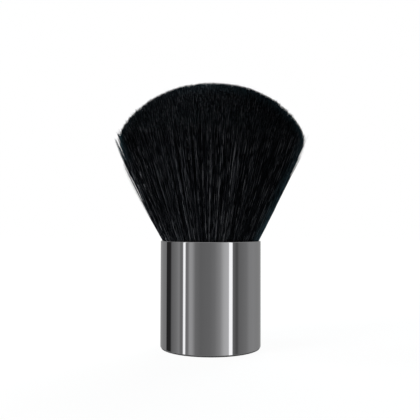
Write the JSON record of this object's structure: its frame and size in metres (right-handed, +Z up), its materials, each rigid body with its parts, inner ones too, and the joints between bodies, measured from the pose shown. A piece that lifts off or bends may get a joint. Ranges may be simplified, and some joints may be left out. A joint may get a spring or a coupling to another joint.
{
  "type": "kabuki makeup brush",
  "caption": "Short round makeup brush: a polished metal barrel with a flat foot carries a wide, flared and domed head of fine dark bristles.",
  "frame": {"origin": "centre of the flat face that the brush stands on", "axes": "+Z up along the axis of the barrel, from the foot to the crown of the head; the part is round, so X and Y are free"},
  "size_m": [0.0618, 0.0618, 0.089],
  "materials": {
    "sleeve": "polished",
    "base_cap": "matte",
    "counterweight": "satin",
    "insert": "matte",
    "tuft_ring": "satin",
    "root_glue": "gloss",
    "root_binding": "matte",
    "bristles": "satin"
  },
  "bodies": {
    "root": {"sleeve": "sleeve", "base_cap": "base_cap", "counterweight": "counterweight", "insert": "insert", "tuft_ring": "tuft_ring", "root_glue": "root_glue", "root_binding": "root_binding", "bristles": "bristles"}
  },
  "joints": []
}
